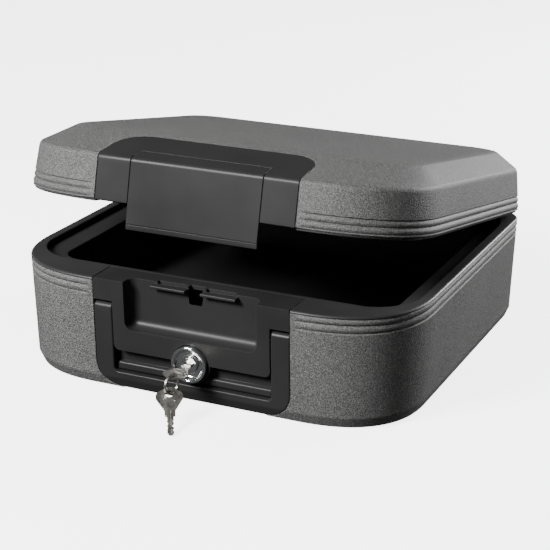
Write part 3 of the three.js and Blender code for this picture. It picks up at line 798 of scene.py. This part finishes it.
def bezel():
    """A dished ring: a rolled lip round a bowl that falls to the plug."""
    face = BEZEL_HIGH.y
    lip = BEZEL_LOW.y
    inner = PLUG_HIGH.x + 0.6
    outer = BEZEL_HIGH.x
    profile = [(inner, face), (outer, face), (outer, lip + 2.2)]
    profile += [(outer - 1.6 + 1.6 * math.cos(t), lip + 1.6 - 1.6 * math.sin(t))
                for t in (math.radians(a) for a in (10, 35, 60, 90, 115, 145))]
    bowl = lip + 5.6
    profile += [(outer - 3.2, lip + 1.7), (outer - 3.6, lip + 3.6), (outer - 4.6, bowl - 0.5)]
    profile += [(outer - 6.4, bowl), (inner, bowl + 0.2)]
    bm = bmesh.new()
    add_lathe(bm, profile, (0, LOCK_Z), 96)
    return to_object(bm, "bezel_ring")


def plug():
    """The lock's plug: a shallow dished face with a key slot, and a tail that carries the cam."""
    front = PLUG_LOW.y
    radius = PLUG_HIGH.x
    body = disc("plug", radius, (front, -150.2), LOCK_Z, 64)
    carve(body, block("tail", (-3, 3), (-151, -146), (LOCK_Z - 3, LOCK_Z + 3)), "UNION")
    carve(body, block("key_slot", (-4, 4), (front - 1, front + 23), (LOCK_Z - 1.3, LOCK_Z + 1.3), 0.4, 2))
    carve(body, disc("dish", radius - 1.6, (front - 2, front + 0.5), LOCK_Z, 48))
    clean(body)
    return soften(body, 0.3, 2, 40)


KEY = dict(thick=1.6, bow=12, hole=3.6, rim=3, length=48, blade=3, neck=4.7, neck_low=19, neck_high=24.5,
           shoulder=5.7)
KEY_HOLE_Y = KEY["length"] - KEY["rim"] - KEY["hole"]


def key_outline(cuts):
    """A key's outline, its tip at the origin: a blade cut on both sides, a neck and a round bow."""
    blade, neck, shoulder = KEY["blade"], KEY["neck"], KEY["shoulder"]
    tip = [(blade * 0.35, 0.3), (blade * 0.75, 1.2), (blade, 3)]
    notches = []
    for at, depth in cuts:
        notches += [(blade, at - depth - 0.5), (blade - depth, at - 0.5), (blade - depth, at + 0.5),
                    (blade, at + depth + 0.5)]
    low = KEY["neck_low"]
    bow = [(blade, low - 0.4), (blade + 0.4, low), (neck, low), (neck, KEY["neck_high"])]
    bow += arc(KEY["bow"] - shoulder, KEY_HOLE_Y - 2.8, shoulder, -32, 62, 12)
    bow += arc(0, KEY_HOLE_Y, KEY["hole"] + KEY["rim"], 48, 90, 6)
    shallow = [(x + 0.35 * (blade - x), y + 2.2) for x, y in notches]
    right = tip + notches + bow
    left = tip + shallow + bow
    return right + [(-x, y) for x, y in reversed(left[:-1])]


def flat_key(name, cuts):
    """A key in its own frame, thickness along Z, with its hole, blade groove and stamped panel."""
    thick = KEY["thick"]
    body = prism(name, key_outline(cuts), "z", -thick / 2, thick / 2)
    carve(body, prism("hole", arc(0, KEY_HOLE_Y, KEY["hole"], 0, 345, 23), "z", -3, 3))
    for side in (-1, 1):
        low, high = sorted((side * (thick / 2 - 0.35), side * 3))
        carve(body, block("groove", (-0.5, 0.6), (1.5, 24), (low, high), 0.15, 1))
        carve(body, prism("panel", rounded_rectangle(-4.6, 4.6, 28.5, 35, 2.5, 2.5, 5), "z",
                          *sorted((side * (thick / 2 - 0.12), side * 3))))
    clean(body)
    return soften(body, 0.18, 2, 40)


def keys():
    """The inserted key, its bow level, and the spare that hangs from the split ring."""
    inserted = flat_key("key_in_lock", [(7, 0.8), (11, 1.2), (15, 0.7)])
    tip_y = box_mm("inserted_key")[1].y
    place = Matrix(((-1, 0, 0, 0), (0, -1, 0, tip_y), (0, 0, 1, LOCK_Z), (0, 0, 0, 1)))
    inserted.data.transform(scaled(place))
    spare = flat_key("key_on_ring", [(5.5, 0.9), (9.5, 1.4), (14, 0.8)])
    spare.data.transform(scaled(spare_place()))
    return inserted, spare


def scaled(place):
    """A placement worked out in millimetres, for a mesh in metres."""
    return Matrix.Scale(MM, 4) @ place @ Matrix.Scale(1 / MM, 4)


def spare_place():
    """Turns the spare key from its own frame to where it hangs: its tip on the floor."""
    across = -SPARE_AXIS.normalized()
    lean = math.radians(55.6)
    level = Vector((across.y, -across.x, 0))
    to_tip = level * math.sin(lean) - Vector((0, 0, math.cos(lean)))
    along = -to_tip
    face = across.cross(along)
    tip = SPARE_AT + to_tip * KEY_HOLE_Y
    turn = Matrix((across, along, face)).transposed().to_4x4()
    return Matrix.Translation(tip) @ turn


def split_ring():
    """Two turns of wire that lie side by side."""
    radius = 8.2
    wire = 0.55
    turns = 2
    steps = 48
    across = RING_AXIS.normalized()
    down = Vector((0, 0, -1))
    level = across.cross(down).normalized()
    sides = 10
    rows = []
    for k in range(turns * steps + 1):
        t = 2 * math.pi * k / steps
        rest = wire * 1.05 * (2 * smooth(k / steps, 0.85, 1.15) - 1)
        out = (down * math.cos(t) + level * math.sin(t)).normalized()
        centre = RING_AT + out * radius + across * rest
        rows.append([tuple(centre + (out * math.cos(a) + across * math.sin(a)) * wire)
                     for a in (2 * math.pi * i / sides for i in range(sides))])
    bm = bmesh.new()
    made = add_rows(bm, rows, closed=True)
    bm.faces.new(list(reversed(made[0])))
    bm.faces.new(made[-1])
    return to_object(bm, "split_ring")


# ---- lid --------------------------------------------------------------------------------------------

BEND_EASE = (0.1, 0.07)        # how much of the wall and of the slope the bend's round takes
TOP_EASE = (0.14, 0.06)        # the same for the flat's edge: of the slope, and of the way to the middle
TOP_MIDDLE = (0, 24)
CROWN = 1.4


def lid_weights():
    """Shares of the edge, bend and top outlines for each row from the bend's round to the flat."""
    a, b = BEND_EASE
    rows = []
    for k in range(9):
        t = k / 8
        start, middle, end = (1 - t) ** 2, 2 * t * (1 - t), t * t
        rows.append((start * a, start * (1 - a) + middle + end * (1 - b), end * b))
    return rows


def slope_row(share):
    return (0, 1 - share, share)


def front_of(weights):
    """The front face's y and z for shares of the edge, bend and top."""
    ys = (EDGE_SHAPE["front"], BEND_SHAPE["front"], TOP_SHAPE["front"])
    zs = (LID_EDGE, LID_BEND, LID_TOP)
    return sum(w * y for w, y in zip(weights, ys)), sum(w * z for w, z in zip(weights, zs))


def slope_share(y):
    return (y - BEND_SHAPE["front"]) / (TOP_SHAPE["front"] - BEND_SHAPE["front"])


def arch_half(y):
    """Half the width of the trim's arch where the slope's front stands at y."""
    rise = y - (TRIM_TOP - TRIM_CORNER)
    if rise <= 0:
        return PANEL_HALF
    return PANEL_HALF - TRIM_CORNER + math.sqrt(max(TRIM_CORNER ** 2 - min(rise, TRIM_CORNER) ** 2, 0))


def arch_shares():
    """Slope shares that follow the arch's corner evenly."""
    shares = []
    for k in range(1, 11):
        y = TRIM_TOP - TRIM_CORNER + TRIM_CORNER * math.sin(math.pi / 2 * k / 10)
        shares.append(slope_share(y))
    return shares


def lid_side_row(weights, seam, groove=0.0, extra=0.0):
    """A row of the lid from its right seam round the back to its left seam."""
    def keyed(d):
        shapes = [inset(s, d) for s in (EDGE_SHAPE, BEND_SHAPE, TOP_SHAPE)]
        return [right_half(s, seam) for s in shapes]

    def mixed(keyed_points):
        return [(sum(w * p[0] for w, p in zip(weights, ps)), sum(w * p[1] for w, p in zip(weights, ps)))
                for ps in zip(*keyed_points)]

    plain, grooved = mixed(keyed(extra)), mixed(keyed(extra + groove))
    z = front_of(weights)[1]
    return [(x, y, z) for x, y in both_halves(blend(plain, grooved, BAND_SHARE))]


def wall_weights(z):
    share = (z - LID_EDGE) / (LID_BEND - LID_EDGE)
    return (1 - share, share, 0)


def lid_strip_rows():
    """The lid's rows from its lower lip up to the arch's top, open across the front."""
    rows = []
    for z, lip in ((0, 2.2), (0.15, 1.3), (0.5, 0.6), (1.0, 0.25)):
        rows.append(lid_side_row(wall_weights(LID_EDGE + z), PANEL_HALF + GAP, 0, lip))
    rows.append(lid_side_row(wall_weights(LID_GROOVES[0] - 0.35), PANEL_HALF + GAP, 0.55))
    for z, groove in band_heights(LID_GROOVES):
        rows.append(lid_side_row(wall_weights(z), PANEL_HALF + GAP, groove))
    last = LID_GROOVES[-1]
    for dz, groove in ((0, GROOVE_DEPTH), (0.35, 0.6), (0.9, 0.05), (2, 0), (6, 0), (12, 0)):
        rows.append(lid_side_row(wall_weights(last + dz), PANEL_HALF + GAP, groove))
    for weights in lid_weights():
        rows.append(lid_side_row(weights, PANEL_HALF + GAP))
    for share in [0.15, 0.28, slope_share(TRIM_TOP - TRIM_CORNER)] + arch_shares():
        y = front_of(slope_row(share))[0]
        rows.append(lid_side_row(slope_row(share), arch_half(y) + GAP * 0.9))
    return rows


def lid_ring(points, front_count=9):
    """Closes a row across the front."""
    right, left = points[0], points[-1]
    across = [tuple(l + (r - l) * k / (front_count + 1) for l, r in zip(left, right))
              for k in range(1, front_count + 1)]
    return points + across


def lid_top_rows(last):
    """From the arch's top, over the soft edge, to near the middle of the crowned flat."""
    seam = arch_half(TRIM_TOP) + GAP * 0.9
    top_row = lid_side_row((0, 0, 1), seam)
    slope, flat = TOP_EASE
    inner = [toward_middle(p, 1 - flat * 2) for p in top_row]
    start = lid_side_row((0, slope, 1 - slope), seam)
    rows = []
    for k in range(1, 9):
        t = k / 8
        rows.append([tuple((1 - t) ** 2 * a + 2 * t * (1 - t) * b + t * t * c for a, b, c in zip(*ps))
                     for ps in zip(start, top_row, inner)])
    for share in (0.8, 0.65, 0.5, 0.35, 0.2, 0.08):
        rows.append([toward_middle(p, share) for p in top_row])
    return [lid_ring(row) for row in [last] + rows]


def toward_middle(point, share):
    """A point of the flat, drawn towards its middle, on a low crown."""
    x = TOP_MIDDLE[0] + (point[0] - TOP_MIDDLE[0]) * share
    y = TOP_MIDDLE[1] + (point[1] - TOP_MIDDLE[1]) * share
    return (x, y, LID_TOP + CROWN * (1 - share ** 2))


def lid_shell():
    bm = bmesh.new()
    strips = lid_strip_rows()
    add_rows(bm, strips)
    made = add_rows(bm, lid_top_rows(strips[-1]), closed=True)
    bm.faces.new(made[-1])
    shell = thicken(to_object(bm, "lid_shell"), 3)
    soften(shell, 0.5, 2, 60)
    return carve(shell, knuckles("lid_knuckles", [(-7.5, 7.5)], lid_knuckle()), "UNION")


def trim_profile():
    """The trim's outer face, from its lower edge to the arch's top: weights for each row."""
    rows = [wall_weights(LID_EDGE + z) for z in (0, 3, 12, 24, 34)]
    rows += lid_weights()
    return rows


def lid_trim():
    """The black trim: two cheeks beside the latch plate, and the bridge above it."""
    bm = bmesh.new()
    plate_gap = PLATE_HALF + 0.45
    low_rows = [front_of(w) for w in trim_profile()]
    low_rows.append(front_of(slope_row(slope_share(PLATE_TOP + 0.4))))
    shares = [slope_share(TRIM_TOP - TRIM_CORNER)] + arch_shares()
    high_rows = [low_rows[-1]] + [front_of(slope_row(s)) for s in shares]
    for side in (-1, 1):
        rows = []
        for y, z in low_rows:
            wide = arch_half(y) - 0.05
            xs = [plate_gap + (wide - plate_gap) * k / 4 for k in range(5)]
            run = [(side * x, y, z) for x in xs]
            rows.append(run if side > 0 else list(reversed(run)))
        add_rows(bm, rows)
    rows = []
    for y, z in high_rows:
        wide = arch_half(y) - 0.05
        outer = [plate_gap + (wide - plate_gap) * k / 4 for k in range(5)]
        inner = [plate_gap * k / 6 for k in range(-5, 6)]
        rows.append([(x, y, z) for x in [-x for x in reversed(outer)] + inner + outer])
    add_rows(bm, rows)
    trim = soften(thicken(to_object(bm, "lid_trim"), 7), 0.6, 3, 50)
    sweep = 4.5                        # the reach of the plate's top edge, and a little more
    return carve(trim, prism("plate_sweep", arc(*LATCH_PIVOT, sweep, 0, 350, 35), "x", -plate_gap, plate_gap))


def latch_plate():
    """The latch plate: down the front from a rolled top edge to a stepped lower lip, with two catch rails."""
    thick = 2.5
    low = RIM - 20.6
    seam_z = low + 5.2
    edge, bend = EDGE_SHAPE["front"], BEND_SHAPE["front"]
    fall = (bend - edge) / (LID_BEND - LID_EDGE)

    def face(z):
        return bend - fall * (LID_BEND - z)

    outer = [(face(low) + 1.3, low + 0.2), (face(low) + 0.55, low + 1.2), (face(seam_z) + 0.3, seam_z - 0.25),
             (face(seam_z) + 0.75, seam_z - 0.2), (face(seam_z) + 0.75, seam_z + 0.2),
             (face(seam_z), seam_z + 0.3)]
    outer += [front_of(w) for w in lid_weights()]
    top_y = PLATE_TOP - 1.2
    top = front_of(slope_row(slope_share(top_y)))
    roll = 1.2
    slope_angle = math.degrees(math.atan2(LID_TOP - LID_BEND, TOP_SHAPE["front"] - bend))
    outer += arc(top[0] + roll * math.sin(math.radians(slope_angle)),
                 top[1] - roll * math.cos(math.radians(slope_angle)), roll, 90 + slope_angle, 0, 6)
    inner = [(top[0] + 0.6, top[1] - 4), (bend + thick + 2.2, LID_BEND - thick), (bend + thick, LID_BEND - 5),
             (face(low) + thick, low + 0.6)]
    plate = prism("latch_cover", outer + inner, "x", -PLATE_HALF, PLATE_HALF)
    soften(plate, 0.45, 3, 50)
    barrel = prism("latch_barrel", arc(*LATCH_PIVOT, 3, 0, 350, 35), "x", -PLATE_HALF + 0.3, PLATE_HALF - 0.3)
    carve(plate, barrel, "UNION")
    for side in (-1, 1):
        span = sorted((side * 9, side * 40))
        carve(plate, block("rail", span, (face(RIM - 7) + thick - 0.6, TAB["front"] - 0.9),
                           (RIM - 8.5, RIM - 6), 0.5, 2), "UNION")
    return plate


CAVITY = rounded(166, -135.5, 145, 20)
TONGUE = rounded(183.5, -137.5, 163.5, 42.5)
CAVITY_CEILING = LID_EDGE + 22


def lid_liner():
    """The lid's underside: a flange with a lip, the tongue that enters the base, and the hollow above."""
    tongue_low = LID_EDGE - 5.1
    notch = (PANEL_HALF + 0.3, FRONT + 12.5)
    flange = inset(EDGE_SHAPE, 2.6)
    skin = 2.4
    lip_low = LID_EDGE - 2.1
    rows = [ring(inset(CAVITY, 6), CAVITY_CEILING + skin), ring(inset(CAVITY, -skin), CAVITY_CEILING - 4),
            ring(inset(CAVITY, -skin), LID_EDGE + skin), ring(flange, LID_EDGE + skin, notch),
            ring(flange, lip_low + 0.4, notch), ring(inset(flange, 0.4), lip_low, notch),
            ring(inset(flange, 1.0), lip_low, notch), ring(inset(flange, 1.4), lip_low + 0.4, notch),
            ring(inset(flange, 1.4), LID_EDGE, notch)]
    rows += [ring(inset(TONGUE, -1.5 * out), LID_EDGE - 1.5 * down) for out, down in fillet(4)]
    rows += [ring(inset(TONGUE, 0.9 * down), tongue_low + 0.9 * out) for out, down in fillet(4)]
    rows += [ring(inset(TONGUE, 1.7), tongue_low), ring(inset(TONGUE, 2.3), tongue_low + 0.3),
             ring(inset(TONGUE, 2.5), tongue_low + 0.9), ring(inset(TONGUE, 2.6), LID_EDGE - 1.4),
             ring(inset(TONGUE, 2.9), LID_EDGE - 0.5), ring(inset(TONGUE, 4), LID_EDGE)]
    rows += [ring(inset(CAVITY, -2.5 * out), LID_EDGE + 2.5 * down) for out, down in fillet()]
    inner = inset(CAVITY, 2)
    rows += [ring(inset(inner, 9 * down), CAVITY_CEILING - 9 * out) for out, down in fillet(6)]
    return closed_skin("lid_liner", rows)


# ---- stage, light and camera ------------------------------------------------------------------------


def add_floor():
    """A white floor. It glows, so it shows pale in the dim studio, and throws no light on the box."""
    bm = bmesh.new()
    bmesh.ops.create_grid(bm, x_segments=1, y_segments=1, size=6000)
    floor = to_object(bm, "floor")
    floor.location.z = -0.0004
    floor.visible_diffuse = False
    floor.visible_glossy = False
    material, nodes, links, shader, coords = start_material("floor", grey(0.8), 0.8, specular=0.1)
    links.new(ramp(nodes, links, noise(nodes, links, coords, 3), [(0.3, grey(0.78)), (0.7, grey(0.8))]),
              shader.inputs["Base Color"])
    shader.inputs["Emission Color"].default_value = (1, 1, 1, 1)
    shader.inputs["Emission Strength"].default_value = 4
    floor.data.materials.append(material)


def add_light(name, turn, rise, distance, size, power):
    """A softbox that faces the box. Its turn is from the front towards the right, in degrees."""
    turn, rise = math.radians(turn), math.radians(rise)
    middle = Vector((0, 0, 0.1))
    way = Vector((math.sin(turn) * math.cos(rise), -math.cos(turn) * math.cos(rise), math.sin(rise)))
    data = bpy.data.lights.new(name, "AREA")
    data.shape = "RECTANGLE"
    data.size, data.size_y = size
    data.energy = power
    light = bpy.data.objects.new(name, data)
    light.location = middle + way * distance
    light.rotation_euler = (-way).to_track_quat("-Z", "Y").to_euler()
    bpy.context.scene.collection.objects.link(light)


def add_lights():
    add_light("front_left", -26, 33, 1.9, (0.6, 0.5), 84)
    add_light("right_back", 148, 15, 2.0, (1.2, 0.5), 66)
    add_light("left", -105, 12, 2.2, (0.8, 0.6), 3)
    world = bpy.data.worlds.new("studio")
    world.use_nodes = True
    background = world.node_tree.nodes["Background"]
    background.inputs["Color"].default_value = (1, 1, 1, 1)
    background.inputs["Strength"].default_value = 0.12
    bpy.context.scene.world = world


def add_camera():
    """In front, above and to the right, with a long lens a metre and a half away."""
    position = Vector((0.602, -1.3077, 0.5815))
    yaw, pitch, roll = (math.radians(a) for a in (24.65, -19.74, 0.28))
    forward = Vector((-math.sin(yaw) * math.cos(pitch), math.cos(yaw) * math.cos(pitch), math.sin(pitch)))
    level_right = forward.cross(Vector((0, 0, 1))).normalized()
    level_up = level_right.cross(forward)
    right = level_right * math.cos(roll) + level_up * math.sin(roll)
    up = right.cross(forward)
    data = bpy.data.cameras.new("camera")
    data.lens = 103.75
    data.sensor_width = 36
    camera = bpy.data.objects.new("camera", data)
    camera.matrix_world = Matrix.Translation(position) @ Matrix((right, up, -forward)).transposed().to_4x4()
    bpy.context.scene.collection.objects.link(camera)
    bpy.context.scene.camera = camera


# ---- the scene --------------------------------------------------------------------------------------


def carried_over():
    """The CAD nodes that stay get their slot's material and slightly rounded edges."""
    for row in frame["record"]["subparts"]:
        node = frame["nodes"][row["node"]]
        if node.hide_render:
            continue
        node.data.materials.clear()
        node.data.materials.append(MATERIALS[row["material_slot"]])
        mod = node.modifiers.new("edges", "BEVEL")
        mod.width = 0.25 * MM
        mod.segments = 2
        mod.limit_method = "ANGLE"
        mod.angle_limit = math.radians(40)


piece(base_shell(), "base", "shell_plastic", ["base_outer_shell"])
piece(base_liner(), "base", "liner_plastic", ["base_inner_liner"])
piece(front_panel(), "base", "trim_plastic", ["base_front_panel"])
piece(handle_pocket(), "base", "trim_plastic", ["handle_pocket"])
piece(carry_handle(), "handle", "trim_plastic", ["carry_handle"])
piece(bezel(), "base", "lock_chrome", ["lock_bezel"])
piece(plug(), "lock_cylinder", "lock_chrome", ["lock_plug"])
key_in_lock, key_on_ring = keys()
piece(key_in_lock, "lock_cylinder", "key_nickel", ["inserted_key"])
piece(key_on_ring, "spare", "key_nickel", ["spare_key"])
piece(split_ring(), "ring", "key_nickel", ["key_ring"])
piece(lid_shell(), "lid", "shell_plastic", ["lid_outer_shell"], LID_TURN)
piece(lid_trim(), "lid", "trim_plastic", ["lid_front_trim"], LID_TURN)
piece(latch_plate(), "latch", "trim_plastic", ["latch_plate"], LID_TURN)
piece(lid_liner(), "lid", "liner_plastic", ["lid_inner_liner"], LID_TURN)
carried_over()

add_floor()
add_lights()
add_camera()
